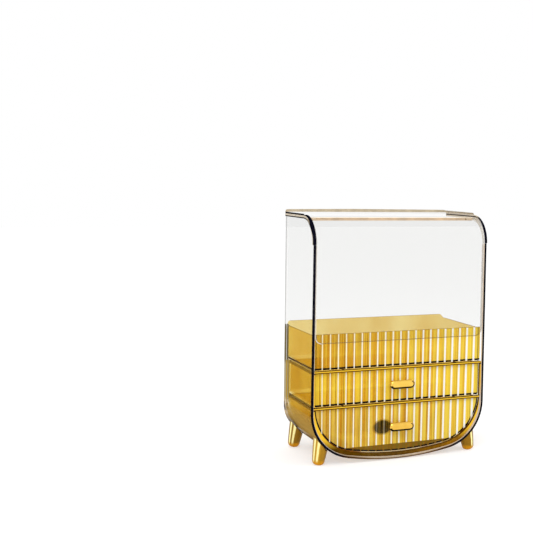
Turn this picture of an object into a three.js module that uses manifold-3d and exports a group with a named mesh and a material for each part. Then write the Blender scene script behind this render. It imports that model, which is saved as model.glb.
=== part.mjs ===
// Dustproof makeup organizer: a clear case with a flip-up front, round an amber cabinet
// that carries a fluted tray and two fluted drawers, on four splayed gold feet.
// Millimetres. X runs across the front, Y from front to back, Z up from the floor.

import * as THREE from "three";
import { mergeVertices } from "three/addons/utils/BufferGeometryUtils.js";
import Module from "manifold-3d";

const wasm = await Module();
wasm.setup();

// Case outline
const caseWidth = 264; // across the sides where they are widest
const caseDepth = 128; // from the front rim to the back
const caseTop = 339.5; // floor to the top of the sides, with the cover's skirt on them
const floorGap = 1.4; // floor to the lowest point of the curved underside
const bottomRadius = 420; // the shallow curve of the underside
const cornerRadius = 66; // the round lower corners
const backCornerRadius = 15; // the upright back corners
const shoulderRadius = 38; // the bend from the front to the top
const sideLeanDegrees = 0.59; // the sides draw in above the lower corners

// Clear shell
const shellWall = 3.2;
const shellFloor = 3.6;

// Running and seating clearances
const seatGap = 0.3; // between pieces that rest on each other or are fixed together
const drawerSideGap = 0.4;
const drawerHeadroom = 0.6;
const drawerBackGap = 0.6;
const trayGap = 0.5;
const doorSideGap = 1.3;
const hingeGap = 0.6; // round the door's barrel

// Clear top cover
const skirtHeight = 5;
const coverProud = 1; // the skirt stands out past the walls
const coverRise = 5; // crown above the top of the sides
const crownSag = 0.8; // the crown's fall from the middle to its edges
const coverEdgeRadius = 6;
const roofThickness = 3;
const frontSkirtThickness = 2.4;

// Clear door
const doorSetback = 1; // behind the front rim
const doorThickness = 3;
const doorOverlap = 12; // below the tray's rim
const doorCornerRadius = 9.5;
const doorBendRadius = 35;
const doorDrop = 4; // its top below the top of the sides
const barrelRadius = 2.2;
const pinRadius = 1;
const pinInDoor = 10;
const pinInWall = 2;

// Amber cabinet
const cabinetWall = 1.7;
const cabinetFloor = 4.7;
const cabinetBackWall = 2;
const cabinetSetback = 1.5; // behind the front rim
const cabinetBackSetback = 7; // ahead of the back of the case
const cabinetBackRadius = 14;
const shelfThickness = 3.1;
const runnerHeight = 0.9;
const runnerWidth = 4;
const runnerSpacing = 172;

// Fluted fronts
const fluteCount = 22;
const flutePitch = 11.6;
const fluteDepth = 1;
const fluteSetback = 5; // crests behind the front rim
const panelThickness = 2.2;

// Drawers
const drawerWall = 1.8;
const drawerFloor = 2;
const drawerBackRadius = 12;
const lowerDrawerHeight = 66.7;
const lowerDrawerCornerRadius = 66;
const lowerFloorRise = 10.3; // flat floor above the lowest point of the drawer
const upperDrawerHeight = 45.4;
const upperDrawerEdgeRadius = 3;
const underRibSpacing = 28;
const underRibWidth = 2;
const underPocketCount = 4;

// Tray
const trayHeight = 48.1;
const trayBackRise = 3.5; // the back wall stands above the front's rim
const traySideDrop = 1.5; // the sides stand below the front's rim
const trayRiseLength = 4; // from the sides up to the back wall
const trayWall = 2;
const trayFloor = 2;
const trayHeelRadius = 8;

// Handles
const handleWidth = 37;
const handleHeight = 12;
const handleThickness = 6;
const handleReach = 8; // its face ahead of the front rim
const handleChamfer = 1.2;
const handlePostRadius = 4.5;
const handleBossRadius = 6;
const upperHandleRise = 25.4; // handle's middle above the bottom of its drawer
const lowerHandleRise = 37;
const screwRadius = 1.5;
const screwHeadRadius = 3.2;
const screwHeadHeight = 1.8;
const screwInPost = 6;

// Feet
const footInset = 14.5; // tip's middle from the side of the case
const footEndInset = 12.7; // tip's middle from the front or the back
const footSplayDegrees = 9.6;
const footRakeDegrees = 3;
const footLength = 50; // before it is cut to the underside
const footTipFlatRadius = 1.5;
const footTipRadius = 9;
const footTipRound = 8.5;
const footTipTrim = 0.4; // taken off the tip so that it stands flat
const footMiddleRadius = 10.4;
const footTopRadius = 12.4;
const footScrewRadius = 1.6;
const footScrewInFoot = 9;
const footScrewInCabinet = 2.6;

// Facets
const cornerFacets = 14;
const bottomFacets = 10;
const roundFacets = 8;
const bendFacets = 12;
const fluteFacets = 5;
const rodFacets = 24;
const footFacets = 28;
const overrun = 2; // cutters run this far past what they cut

// Heights of the stack, from the underside up
const halfWidth = caseWidth / 2;
const cabinetInset = shellWall + seatGap;
const cabinetBase = shellFloor + seatGap;
const lowerBayInset = cabinetBase + cabinetFloor;
const lowerDrawerInset = lowerBayInset + runnerHeight + seatGap;
const lowerDrawerBottom = floorGap + lowerDrawerInset;
const lowerDrawerTop = lowerDrawerBottom + lowerDrawerHeight;
const lowerShelfBottom = lowerDrawerTop + drawerHeadroom;
const lowerShelfTop = lowerShelfBottom + shelfThickness;
const upperDrawerBottom = lowerShelfTop + runnerHeight + seatGap;
const upperDrawerTop = upperDrawerBottom + upperDrawerHeight;
const upperShelfBottom = upperDrawerTop + drawerHeadroom;
const upperShelfTop = upperShelfBottom + shelfThickness;
const trayBottom = upperShelfTop + runnerHeight + seatGap;
const trayRim = trayBottom + trayHeight;
const doorBottom = trayRim - doorOverlap;

// Places from front to back
const grooveY = fluteSetback + fluteDepth;
const panelInside = grooveY + panelThickness;
const cabinetBack = caseDepth - cabinetBackSetback;
const drawerBack = cabinetBack - cabinetBackWall - drawerBackGap;
const trayBack = caseDepth - shellWall - trayGap;
const shoulderZ = caseTop - shoulderRadius;
const skirtZ = caseTop - skirtHeight;
const hingeY = doorSetback + doorBendRadius;
const hingeZ = caseTop - doorDrop - doorThickness / 2;
const coverFront = hingeY + barrelRadius + hingeGap;
const coverBack = caseDepth + coverProud;

// Side insets of the sliding pieces
const bayInset = cabinetInset + cabinetWall;
const drawerInset = bayInset + drawerSideGap;
const trayInset = shellWall + trayGap;
const doorInset = shellWall + doorSideGap;

// Turning a closed three.js mesh into a solid that can be joined and cut, and back.
function solid(geometry) {
  const bare = geometry.clone();
  bare.deleteAttribute("normal");
  bare.deleteAttribute("uv");
  const merged = mergeVertices(bare);
  return new wasm.Manifold(
    new wasm.Mesh({
      numProp: 3,
      vertProperties: merged.attributes.position.array,
      triVerts: new Uint32Array(merged.index.array),
    }),
  );
}

function geometryOf(body) {
  const mesh = body.getMesh();
  const indexed = new THREE.BufferGeometry();
  indexed.setAttribute("position", new THREE.BufferAttribute(mesh.vertProperties, 3));
  indexed.setIndex(new THREE.BufferAttribute(mesh.triVerts, 1));
  const faceted = indexed.toNonIndexed();
  faceted.computeVertexNormals();
  return faceted;
}

// Outline pieces
function point(x, y) {
  return new THREE.Vector2(x, y);
}

function arc(x, y, radius, fromDegrees, toDegrees, facets) {
  const points = [];
  for (let i = 0; i <= facets; i += 1) {
    const angle = THREE.MathUtils.degToRad(THREE.MathUtils.lerp(fromDegrees, toDegrees, i / facets));
    points.push(point(x + radius * Math.cos(angle), y + radius * Math.sin(angle)));
  }
  return points;
}

// Prisms of an outline along each axis
function prism(outline, depth) {
  return new THREE.ExtrudeGeometry(new THREE.Shape(outline), { depth, bevelEnabled: false });
}

function alongX(outline, from, to) {
  const turn = new THREE.Matrix4().makeBasis(
    new THREE.Vector3(0, 1, 0),
    new THREE.Vector3(0, 0, 1),
    new THREE.Vector3(1, 0, 0),
  );
  return solid(prism(outline, to - from).applyMatrix4(turn).translate(from, 0, 0));
}

function alongY(outline, from, to) {
  return solid(prism(outline, to - from).rotateX(Math.PI / 2).translate(0, to, 0));
}

function alongZ(outline, from, to) {
  return solid(prism(outline, to - from).translate(0, 0, from));
}

function block(fromX, toX, fromY, toY, fromZ, toZ) {
  const box = new THREE.BoxGeometry(toX - fromX, toY - fromY, toZ - fromZ);
  return solid(box.translate((fromX + toX) / 2, (fromY + toY) / 2, (fromZ + toZ) / 2));
}

// A round bar from one point to another
function rod(radius, from, to) {
  const axis = new THREE.Vector3().subVectors(to, from);
  const bar = new THREE.CylinderGeometry(radius, radius, axis.length(), rodFacets);
  const turn = new THREE.Quaternion().setFromUnitVectors(
    new THREE.Vector3(0, 1, 0),
    axis.clone().normalize(),
  );
  const middle = new THREE.Vector3().addVectors(from, to).multiplyScalar(1 / 2);
  return solid(bar.applyQuaternion(turn).translate(middle.x, middle.y, middle.z));
}

// Places on the case outline, drawn in by so much at the sides and at the lowest point
function cornerOf(side, bottom, radius) {
  const x = halfWidth - side - radius;
  const drop = Math.sqrt((bottomRadius - radius) ** 2 - x ** 2);
  const centreZ = floorGap + bottom + bottomRadius;
  return { x, z: centreZ - drop, centreZ, spread: THREE.MathUtils.radToDeg(Math.atan2(x, drop)) };
}

// The case outline seen from the front: a shallow curve, round lower corners and upright sides
function frontOutline(side, bottom, top, radius = cornerRadius - side) {
  const corner = cornerOf(side, bottom, radius);
  return [
    point(corner.x + radius, top),
    point(-corner.x - radius, top),
    ...arc(-corner.x, corner.z, radius, 180, 270 - corner.spread, cornerFacets),
    ...arc(0, corner.centreZ, bottomRadius, 270 - corner.spread, 270 + corner.spread, bottomFacets)
      .slice(1, -1),
    ...arc(corner.x, corner.z, radius, corner.spread - 90, 0, cornerFacets),
  ];
}

// A piece seen from above: a given front edge, straight sides and two round back corners
function planOutline(half, front, back, radius) {
  return [
    ...front,
    ...arc(half - radius, back - radius, radius, 0, 90, roundFacets),
    ...arc(radius - half, back - radius, radius, 90, 180, roundFacets),
  ];
}

function flatFront(half, y) {
  return [point(-half, y), point(half, y)];
}

// The fluted front seen from above: a row of convex bars that meet in sharp grooves
function flutedFront(half) {
  const radius = ((flutePitch / 2) ** 2 + fluteDepth ** 2) / (2 * fluteDepth);
  const sweep = THREE.MathUtils.radToDeg(Math.asin(flutePitch / 2 / radius));
  const points = [point(-half, grooveY)];
  for (let bar = 0; bar < fluteCount; bar += 1) {
    const x = (bar + 1 / 2 - fluteCount / 2) * flutePitch;
    points.push(...arc(x, fluteSetback + radius, radius, 270 - sweep, 270 + sweep, fluteFacets));
  }
  points.push(point(half, grooveY));
  return points.filter((p) => Math.abs(p.x) < half).concat(point(half, grooveY));
}

// The sides draw in evenly above the lower corners, and everything inside follows them
const leanStart = cornerOf(0, 0, cornerRadius).z;

function leanShare(z) {
  const rise = Math.max(0, z - leanStart);
  return 1 - (rise * Math.tan(THREE.MathUtils.degToRad(sideLeanDegrees))) / halfWidth;
}

function leaned(body) {
  const mesh = body.getMesh();
  const vertProperties = mesh.vertProperties.slice();
  for (let i = 0; i < vertProperties.length; i += 3) {
    vertProperties[i] *= leanShare(vertProperties[i + 2]);
  }
  return new wasm.Manifold(
    new wasm.Mesh({ numProp: 3, vertProperties, triVerts: mesh.triVerts }),
  );
}

// Both hinge pins lie on one axis at the top of the door, one at each side
function pinEnds(side) {
  const wallFace = (halfWidth - shellWall) * leanShare(hingeZ);
  const doorEdge = (halfWidth - doorInset) * leanShare(hingeZ);
  return {
    inner: new THREE.Vector3(side * (doorEdge - pinInDoor), hingeY, hingeZ),
    outer: new THREE.Vector3(side * (wallFace + pinInWall), hingeY, hingeZ),
  };
}

function pinHole(side) {
  const { inner, outer } = pinEnds(side);
  const slack = new THREE.Vector3(side * seatGap, 0, 0);
  return rod(pinRadius + seatGap, inner.clone().sub(slack), outer.clone().add(slack));
}

function doorPin(side) {
  const { inner, outer } = pinEnds(side);
  return rod(pinRadius, inner, outer);
}

// Each foot's axis runs from its tip up and inwards, to where it meets the case's lower corner
function footAxis(side, end) {
  const tip = new THREE.Vector3(
    side * (halfWidth - footInset),
    end < 0 ? footEndInset : caseDepth - footEndInset,
    0,
  );
  const direction = new THREE.Vector3(
    -side * Math.tan(THREE.MathUtils.degToRad(footSplayDegrees)),
    -end * Math.tan(THREE.MathUtils.degToRad(footRakeDegrees)),
    1,
  ).normalize();
  const corner = cornerOf(0, 0, cornerRadius);
  const x = Math.abs(tip.x) - corner.x;
  const z = -corner.z;
  const across = direction.x ** 2 + direction.z ** 2;
  const half = -side * direction.x * x - direction.z * z;
  const rest = x ** 2 + z ** 2 - cornerRadius ** 2;
  const reach = (half - Math.sqrt(half ** 2 - across * rest)) / across;
  return { tip, direction, reach };
}

function footAxisPoint({ tip, direction }, distance) {
  return tip.clone().addScaledVector(direction, distance);
}

function footScrewEnds(axis) {
  const corner = cornerOf(0, 0, cornerRadius);
  const meeting = footAxisPoint(axis, axis.reach);
  const inward = new THREE.Vector2(
    corner.x - Math.abs(meeting.x),
    corner.z - meeting.z,
  ).normalize();
  const slant = Math.abs(axis.direction.x) * Math.abs(inward.x) + axis.direction.z * inward.y;
  const throughWall = cabinetInset / slant;
  return {
    low: axis.reach - footScrewInFoot,
    high: axis.reach + throughWall + footScrewInCabinet,
  };
}

function footScrewHole(side, end) {
  const axis = footAxis(side, end);
  const { low, high } = footScrewEnds(axis);
  return rod(
    footScrewRadius + seatGap,
    footAxisPoint(axis, low - seatGap),
    footAxisPoint(axis, high + seatGap),
  );
}

function footScrew(side, end) {
  const axis = footAxis(side, end);
  const { low, high } = footScrewEnds(axis);
  return rod(footScrewRadius, footAxisPoint(axis, low), footAxisPoint(axis, high));
}

const corners = [
  { place: "front_left", side: -1, end: -1 },
  { place: "front_right", side: 1, end: -1 },
  { place: "back_left", side: -1, end: 1 },
  { place: "back_right", side: 1, end: 1 },
];

// Clear shell: sides, back and curved underside, open at the front and the top
function caseShell() {
  const half = halfWidth;
  const outer = alongY(frontOutline(0, 0, caseTop), 0, caseDepth).intersect(
    alongZ(planOutline(half, flatFront(half, 0), caseDepth, backCornerRadius), 0, caseTop),
  );
  const innerHalf = half - shellWall;
  const innerTop = caseTop + overrun;
  const inner = alongY(frontOutline(shellWall, shellFloor, innerTop), -overrun, caseDepth).intersect(
    alongZ(
      planOutline(
        innerHalf,
        flatFront(innerHalf, -overrun),
        caseDepth - shellWall,
        backCornerRadius - shellWall,
      ),
      0,
      innerTop,
    ),
  );
  // The walls stop short under the cover's skirt, along the top and round the shoulder
  const ledge = skirtHeight + seatGap;
  const side = [
    point(0, 0),
    point(caseDepth, 0),
    point(caseDepth, skirtZ - seatGap),
    ...arc(shoulderRadius, shoulderZ, shoulderRadius - ledge, 90, 180, bendFacets),
    point(ledge, shoulderZ - seatGap),
    point(0, shoulderZ - seatGap),
  ];
  let shell = outer.subtract(inner).intersect(alongX(side, -half, half));
  shell = leaned(shell);
  for (const sideSign of [-1, 1]) shell = shell.subtract(pinHole(sideSign));
  for (const { side: s, end } of corners) shell = shell.subtract(footScrewHole(s, end));
  return shell;
}

// The cover's section across the case: upright skirts, round edges and a slight crown
function roofOutline(half, top, edgeRadius, sag, base) {
  const edge = half - edgeRadius;
  const crownRadius = (edge ** 2 + sag ** 2) / (2 * sag);
  const sweep = THREE.MathUtils.radToDeg(Math.asin(edge / crownRadius));
  const edgeZ = top - sag - edgeRadius;
  return [
    point(-half, base),
    point(half, base),
    ...arc(edge, edgeZ, edgeRadius, 0, 90, roundFacets),
    ...arc(0, top - crownRadius, crownRadius, 90 - sweep, 90 + sweep, bottomFacets).slice(1, -1),
    ...arc(-edge, edgeZ, edgeRadius, 90, 180, roundFacets),
  ];
}

// Clear cover: a crowned cap on the sides and the back, with two arms round the shoulders
function topCover() {
  const half = halfWidth + coverProud;
  const roofTop = caseTop + coverRise;
  const outer = alongY(roofOutline(half, roofTop, coverEdgeRadius, crownSag, skirtZ), coverFront, coverBack)
    .intersect(
      alongZ(
        planOutline(half, flatFront(half, coverFront), coverBack, backCornerRadius + coverProud),
        skirtZ,
        roofTop,
      ),
    );
  const innerHalf = halfWidth - shellWall;
  const innerBack = caseDepth - shellWall;
  const inner = alongY(
    roofOutline(
      innerHalf,
      roofTop - roofThickness,
      coverEdgeRadius - roofThickness,
      crownSag,
      skirtZ - overrun,
    ),
    coverFront + frontSkirtThickness,
    innerBack,
  ).intersect(
    alongZ(
      planOutline(
        innerHalf,
        flatFront(innerHalf, coverFront + frontSkirtThickness),
        innerBack,
        backCornerRadius - shellWall,
      ),
      skirtZ - overrun,
      roofTop,
    ),
  );
  let cover = outer.subtract(inner);
  const band = [
    ...arc(shoulderRadius, shoulderZ, shoulderRadius, 90, 180, bendFacets),
    ...arc(shoulderRadius, shoulderZ, shoulderRadius - skirtHeight, 180, 90, bendFacets),
    point(coverFront + frontSkirtThickness, skirtZ),
    point(coverFront + frontSkirtThickness, caseTop - coverProud),
    point(coverFront, caseTop),
  ];
  cover = cover.add(alongX(band, innerHalf, half)).add(alongX(band, -half, -innerHalf));
  cover = leaned(cover);
  for (const side of [-1, 1]) cover = cover.subtract(pinHole(side));
  return cover;
}

// Clear door: one bent sheet with a barrel along its top edge for the two pins
function frontDoor() {
  const half = halfWidth - doorInset;
  const topZ = caseTop - doorDrop;
  const bendZ = topZ - doorBendRadius;
  const section = [
    point(doorSetback, doorBottom),
    point(doorSetback + doorThickness, doorBottom),
    ...arc(hingeY, bendZ, doorBendRadius - doorThickness, 180, 90, bendFacets),
    ...arc(hingeY, bendZ, doorBendRadius, 90, 180, bendFacets),
  ];
  const face = [
    point(half, topZ),
    point(-half, topZ),
    ...arc(doorCornerRadius - half, doorBottom + doorCornerRadius, doorCornerRadius, 180, 270, roundFacets),
    ...arc(half - doorCornerRadius, doorBottom + doorCornerRadius, doorCornerRadius, 270, 360, roundFacets),
  ];
  const barrel = alongX(arc(hingeY, hingeZ, barrelRadius, 0, 360, rodFacets).slice(1), -half, half);
  let door = alongX(section, -half, half).intersect(alongY(face, 0, hingeY + overrun)).add(barrel);
  door = leaned(door);
  for (const side of [-1, 1]) door = door.subtract(pinHole(side));
  return door;
}

// Amber cabinet: curved floor, thin sides and back, and two shelves with low runners
function cabinetFrame() {
  const half = halfWidth - cabinetInset;
  const bayHalf = halfWidth - bayInset;
  const bayBack = cabinetBack - cabinetBackWall;
  const outer = alongY(frontOutline(cabinetInset, cabinetBase, upperShelfTop), cabinetSetback, cabinetBack)
    .intersect(
      alongZ(
        planOutline(half, flatFront(half, cabinetSetback), cabinetBack, cabinetBackRadius),
        floorGap,
        upperShelfTop,
      ),
    );
  const bayPlan = planOutline(
    bayHalf,
    flatFront(bayHalf, -overrun),
    bayBack,
    cabinetBackRadius - cabinetBackWall,
  );
  const lowerBay = alongY(
    frontOutline(bayInset, lowerBayInset, caseTop, lowerDrawerCornerRadius),
    -overrun,
    bayBack,
  ).intersect(alongZ(bayPlan, floorGap, lowerShelfBottom));
  const upperBay = alongZ(bayPlan, lowerShelfTop, upperShelfBottom);
  let frame = outer.subtract(lowerBay).subtract(upperBay);
  const clearOfDrawer = alongY(
    frontOutline(drawerInset - seatGap, lowerDrawerInset - seatGap, caseTop, lowerDrawerCornerRadius),
    -overrun,
    cabinetBack + overrun,
  );
  for (const side of [-1, 1]) {
    const from = (side * runnerSpacing - runnerWidth) / 2;
    const to = from + runnerWidth;
    const floorRunner = block(from, to, cabinetSetback, bayBack, floorGap, lowerDrawerTop)
      .intersect(lowerBay)
      .subtract(clearOfDrawer);
    frame = frame
      .add(floorRunner)
      .add(block(from, to, cabinetSetback, bayBack, lowerShelfBottom, lowerShelfTop + runnerHeight))
      .add(block(from, to, cabinetSetback, bayBack, upperShelfBottom, upperShelfTop + runnerHeight));
  }
  frame = leaned(frame);
  for (const { side, end } of corners) frame = frame.subtract(footScrewHole(side, end));
  return frame;
}

// A flat round seat for the handle's post on a fluted front, and the screw's hole through it
function withHandleSeat(drawer, z) {
  const seat = rod(
    handleBossRadius,
    new THREE.Vector3(0, fluteSetback, z),
    new THREE.Vector3(0, panelInside, z),
  );
  const hole = rod(
    screwRadius + seatGap,
    new THREE.Vector3(0, 0, z),
    new THREE.Vector3(0, panelInside + overrun, z),
  );
  return drawer.add(seat).subtract(hole);
}

// The upper drawer's outline seen from the front, with small round lower edges
function upperDrawerOutline(half, bottom, top, radius) {
  return [
    point(half, top),
    point(-half, top),
    ...arc(radius - half, bottom + radius, radius, 180, 270, roundFacets),
    ...arc(half - radius, bottom + radius, radius, 270, 360, roundFacets),
  ];
}

// Upper drawer: a shallow open box behind a fluted front
function upperDrawer() {
  const half = halfWidth - drawerInset;
  const innerHalf = half - drawerWall;
  const innerBack = drawerBack - drawerWall;
  const outer = alongY(
    upperDrawerOutline(half, upperDrawerBottom, upperDrawerTop, upperDrawerEdgeRadius),
    0,
    drawerBack,
  ).intersect(
    alongZ(
      planOutline(half, flutedFront(half), drawerBack, drawerBackRadius),
      upperDrawerBottom,
      upperDrawerTop,
    ),
  );
  const inner = alongY(
    upperDrawerOutline(
      innerHalf,
      upperDrawerBottom + drawerFloor,
      upperDrawerTop + overrun,
      upperDrawerEdgeRadius - drawerWall,
    ),
    panelInside,
    innerBack,
  ).intersect(
    alongZ(
      planOutline(innerHalf, flatFront(innerHalf, panelInside), innerBack, drawerBackRadius - drawerWall),
      upperDrawerBottom,
      upperDrawerTop + overrun,
    ),
  );
  const drawer = withHandleSeat(outer.subtract(inner), upperDrawerBottom + upperHandleRise);
  return leaned(drawer);
}

// Lower drawer: a deep box with the case's round lower corners and a flat, ribbed floor
function lowerDrawer() {
  const half = halfWidth - drawerInset;
  const innerHalf = half - drawerWall;
  const innerBack = drawerBack - drawerWall;
  const floorZ = lowerDrawerBottom + lowerFloorRise;
  const whole = alongY(
    frontOutline(drawerInset, lowerDrawerInset, caseTop, lowerDrawerCornerRadius),
    0,
    drawerBack,
  );
  const fluted = alongZ(
    planOutline(half, flutedFront(half), drawerBack, drawerBackRadius),
    floorZ,
    lowerDrawerTop,
  );
  const plain = alongZ(
    planOutline(half, flatFront(half, grooveY), drawerBack, drawerBackRadius),
    floorGap,
    floorZ,
  );
  const inner = alongY(
    frontOutline(
      drawerInset + drawerWall,
      lowerDrawerInset + drawerFloor,
      caseTop,
      lowerDrawerCornerRadius - drawerWall,
    ),
    panelInside,
    innerBack,
  ).intersect(
    alongZ(
      planOutline(innerHalf, flatFront(innerHalf, panelInside), innerBack, drawerBackRadius - drawerWall),
      floorZ,
      lowerDrawerTop + overrun,
    ),
  );
  let drawer = whole.intersect(fluted.add(plain)).subtract(inner);
  const pitch = underRibSpacing;
  for (let pocket = 0; pocket < underPocketCount; pocket += 1) {
    const from = (pocket - underPocketCount / 2) * pitch + underRibWidth / 2;
    const to = from + pitch - underRibWidth;
    drawer = drawer.subtract(block(from, to, panelInside, innerBack, floorGap, floorZ - drawerFloor));
  }
  return leaned(withHandleSeat(drawer, lowerDrawerBottom + lowerHandleRise));
}

// Tray: a deep fluted open box on the cabinet, with a round heel and a raised back wall
function upperTray() {
  const half = halfWidth - trayInset;
  const radius = backCornerRadius - trayInset;
  const backTop = trayRim + trayBackRise;
  const sideTop = trayRim - traySideDrop;
  const riseEnd = trayBack - trayWall;
  const heel = arc(trayBack - trayHeelRadius, trayBottom + trayHeelRadius, trayHeelRadius, 270, 360, roundFacets);
  const innerHeel = arc(
    trayBack - trayHeelRadius,
    trayBottom + trayHeelRadius,
    trayHeelRadius - trayWall,
    270,
    360,
    roundFacets,
  );
  const side = [
    point(0, trayBottom),
    ...heel,
    point(trayBack, backTop),
    point(riseEnd, backTop),
    point(riseEnd - trayRiseLength, sideTop),
    point(panelInside + traySideDrop, sideTop),
    point(panelInside, trayRim),
    point(0, trayRim),
  ];
  const innerSide = [
    point(panelInside, trayBottom + trayFloor),
    ...innerHeel,
    point(trayBack - trayWall, backTop + overrun),
    point(panelInside, backTop + overrun),
  ];
  const outer = alongX(side, -half, half).intersect(
    alongZ(planOutline(half, flutedFront(half), trayBack, radius), trayBottom, backTop),
  );
  const innerHalf = half - trayWall;
  const inner = alongX(innerSide, -innerHalf, innerHalf).intersect(
    alongZ(
      planOutline(innerHalf, flatFront(innerHalf, panelInside), trayBack - trayWall, radius - trayWall),
      trayBottom,
      backTop + overrun,
    ),
  );
  return leaned(outer.subtract(inner));
}

// Handle: a thick pill with a chamfered rim, on a short round post
function handle() {
  const round = handleHeight / 2 - handleChamfer;
  const reach = (handleWidth - handleHeight) / 2;
  const outline = [
    ...arc(reach, 0, round, -90, 90, bendFacets),
    ...arc(-reach, 0, round, 90, 270, bendFacets),
  ];
  const pill = new THREE.ExtrudeGeometry(new THREE.Shape(outline), {
    depth: handleThickness - 2 * handleChamfer,
    bevelThickness: handleChamfer,
    bevelSize: handleChamfer,
    bevelSegments: 1,
  });
  pill.rotateX(Math.PI / 2).translate(0, handleThickness - handleChamfer - handleReach, 0);
  const postEnd = fluteSetback - seatGap;
  const post = rod(
    handlePostRadius,
    new THREE.Vector3(0, handleThickness / 2 - handleReach, 0),
    new THREE.Vector3(0, postEnd, 0),
  );
  const bore = rod(
    screwRadius + seatGap,
    new THREE.Vector3(0, fluteSetback - screwInPost - seatGap, 0),
    new THREE.Vector3(0, postEnd + overrun, 0),
  );
  return solid(pill).add(post).subtract(bore);
}

// Handle screw: a pan head inside the drawer and a shank through the front into the post
function handleScrew() {
  const headSeat = panelInside + seatGap;
  const shank = rod(
    screwRadius,
    new THREE.Vector3(0, fluteSetback - screwInPost, 0),
    new THREE.Vector3(0, headSeat + screwHeadHeight / 2, 0),
  );
  const head = rod(
    screwHeadRadius,
    new THREE.Vector3(0, headSeat, 0),
    new THREE.Vector3(0, headSeat + screwHeadHeight, 0),
  );
  return shank.add(head);
}

// Foot: a gently swelling cone with a rounded, flat tip, cut to the curved underside
function foot(side, end) {
  const tipRound = new THREE.QuadraticBezierCurve(
    point(footTipFlatRadius, 0),
    point(footTipRadius, 0),
    point(footTipRadius, footTipRound),
  );
  const flank = new THREE.QuadraticBezierCurve(
    point(footTipRadius, footTipRound),
    point(footMiddleRadius, (footTipRound + footLength) / 3),
    point(footTopRadius, footLength),
  );
  const profile = [
    point(0, 0),
    ...tipRound.getPoints(roundFacets / 2),
    ...flank.getPoints(roundFacets).slice(1),
    point(0, footLength),
  ];
  const axis = footAxis(side, end);
  const start = footAxisPoint(axis, -footTipTrim);
  const cone = new THREE.LatheGeometry(profile, footFacets);
  const turn = new THREE.Quaternion().setFromUnitVectors(new THREE.Vector3(0, 1, 0), axis.direction);
  const placed = solid(cone.applyQuaternion(turn).translate(start.x, start.y, start.z));
  const underside = alongY(frontOutline(-seatGap, -seatGap, caseTop), -overrun, caseDepth + overrun);
  const ground = block(-halfWidth, halfWidth, -overrun, caseDepth + overrun, -footTopRadius, 0);
  return placed.subtract(underside).subtract(ground).subtract(footScrewHole(side, end));
}

// Materials
const clear = { color: 0xeceae6, roughness: 0.06, metalness: 0, transparent: true, opacity: 0.3 };
const amber = { color: 0xe3a83c, roughness: 0.1, metalness: 0, transparent: true, opacity: 0.75 };
const gold = { color: 0xd9a84e, roughness: 0.22, metalness: 1 };
const steel = { color: 0xb9bcc0, roughness: 0.35, metalness: 1 };

function piece(name, body, look) {
  const mesh = new THREE.Mesh(geometryOf(body), new THREE.MeshStandardMaterial(look));
  mesh.name = name;
  return mesh;
}

function placedAt(mesh, z) {
  mesh.position.z = z;
  return mesh;
}

const upperHandleZ = upperDrawerBottom + upperHandleRise;
const lowerHandleZ = lowerDrawerBottom + lowerHandleRise;

const assembly = new THREE.Group();
assembly.add(
  piece("case_shell", caseShell(), clear),
  piece("top_cover", topCover(), clear),
  piece("front_door", frontDoor(), clear),
  piece("door_pin_left", doorPin(-1), steel),
  piece("door_pin_right", doorPin(1), steel),
  piece("cabinet_frame", cabinetFrame(), amber),
  piece("upper_tray", upperTray(), amber),
  piece("upper_drawer", upperDrawer(), amber),
  piece("lower_drawer", lowerDrawer(), amber),
  placedAt(piece("upper_handle", handle(), gold), upperHandleZ),
  placedAt(piece("lower_handle", handle(), gold), lowerHandleZ),
  placedAt(piece("upper_handle_screw", handleScrew(), steel), upperHandleZ),
  placedAt(piece("lower_handle_screw", handleScrew(), steel), lowerHandleZ),
);
for (const { place, side, end } of corners) {
  assembly.add(
    piece("foot_" + place, foot(side, end), gold),
    piece("foot_screw_" + place, footScrew(side, end), steel),
  );
}

// The origin is on the floor, in the middle of the whole organizer from front to back
assembly.position.y = (handleReach - coverBack) / 2;

const organizer = new THREE.Group();
organizer.add(assembly);

export default organizer;
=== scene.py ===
"""Clear makeup organizer with amber drawers, dressed for a studio view."""
import math

import bmesh
import bpy
from mathutils import Matrix, Vector


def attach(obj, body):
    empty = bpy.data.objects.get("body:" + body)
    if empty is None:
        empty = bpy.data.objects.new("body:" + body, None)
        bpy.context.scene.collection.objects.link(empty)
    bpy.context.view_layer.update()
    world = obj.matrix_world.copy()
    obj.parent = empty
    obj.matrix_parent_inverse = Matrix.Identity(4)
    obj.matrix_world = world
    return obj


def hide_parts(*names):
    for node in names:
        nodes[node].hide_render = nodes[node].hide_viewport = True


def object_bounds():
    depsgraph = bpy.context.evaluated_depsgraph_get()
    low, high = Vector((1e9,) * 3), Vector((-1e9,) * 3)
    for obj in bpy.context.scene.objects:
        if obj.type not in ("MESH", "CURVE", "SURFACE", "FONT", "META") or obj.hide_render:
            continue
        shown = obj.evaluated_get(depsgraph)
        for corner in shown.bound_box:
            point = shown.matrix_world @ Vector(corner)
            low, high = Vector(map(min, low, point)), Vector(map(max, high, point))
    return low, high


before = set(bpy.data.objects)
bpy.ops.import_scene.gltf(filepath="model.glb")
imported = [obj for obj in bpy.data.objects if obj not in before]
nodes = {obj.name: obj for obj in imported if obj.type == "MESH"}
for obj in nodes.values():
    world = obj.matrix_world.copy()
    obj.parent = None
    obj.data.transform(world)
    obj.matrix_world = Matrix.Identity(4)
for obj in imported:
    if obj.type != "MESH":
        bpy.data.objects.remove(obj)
cad_low, cad_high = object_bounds()

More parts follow.
